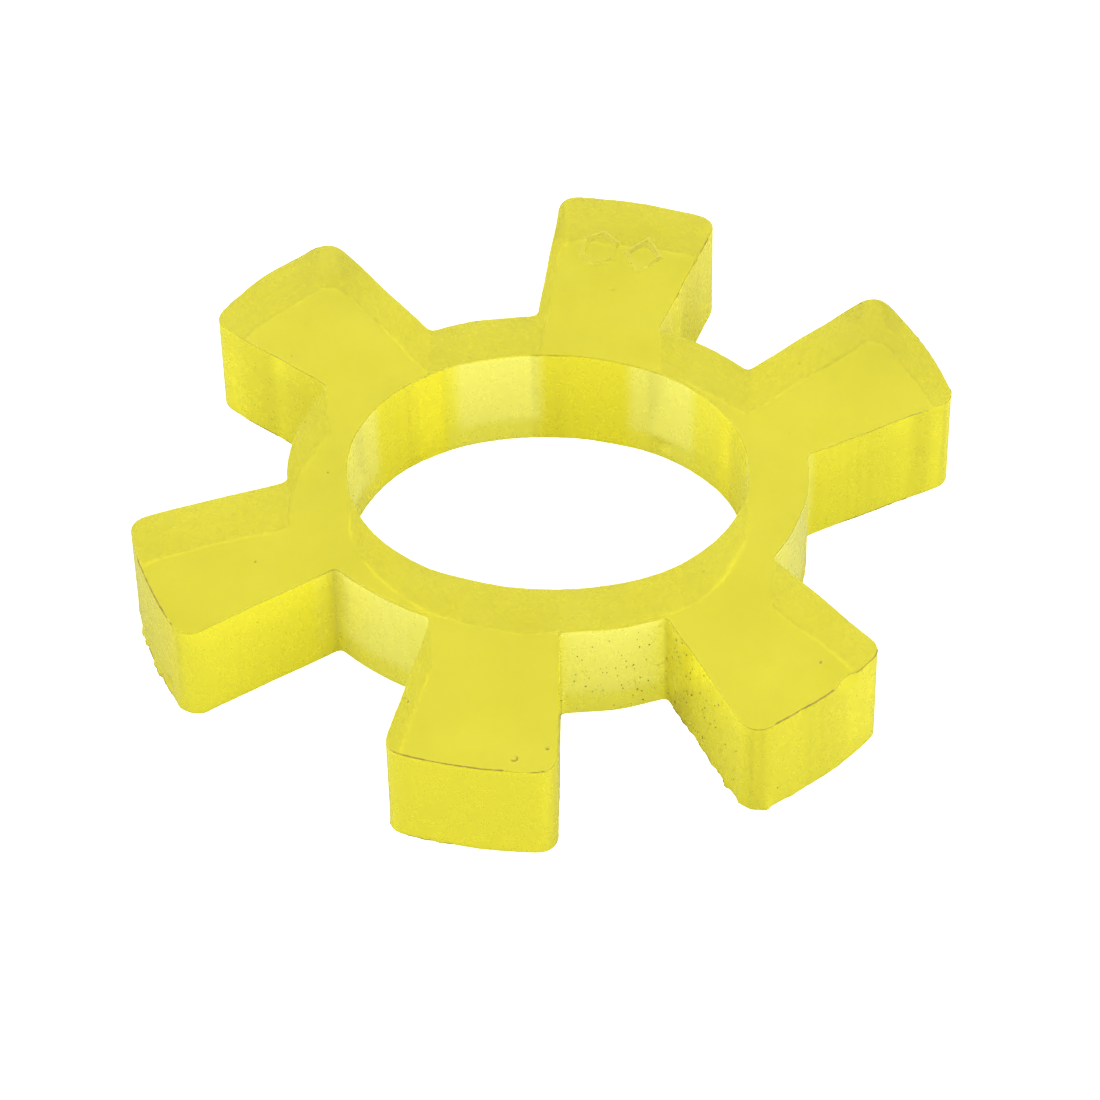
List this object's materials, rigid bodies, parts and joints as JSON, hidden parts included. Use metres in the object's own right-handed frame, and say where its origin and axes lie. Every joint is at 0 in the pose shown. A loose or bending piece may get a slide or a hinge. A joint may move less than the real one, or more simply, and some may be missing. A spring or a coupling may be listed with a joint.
{
  "type": "jaw coupling spider",
  "caption": "Translucent yellow polyurethane spider of a jaw coupling: a ring with tapered legs that sit between the jaws of two hubs and cushion the drive.",
  "frame": {"origin": "middle of the underside of the bounding box, about 0.4 mm from the middle of the ring", "axes": "+Z is the coupling's axis, up from the underside to the marked top face; +Y points along the marked leg"},
  "size_m": [0.0516, 0.055, 0.0082],
  "materials": {
    "polyurethane": "hazy translucent cast polyurethane, satin"
  },
  "bodies": {
    "root": {"spider": "polyurethane"}
  },
  "joints": []
}
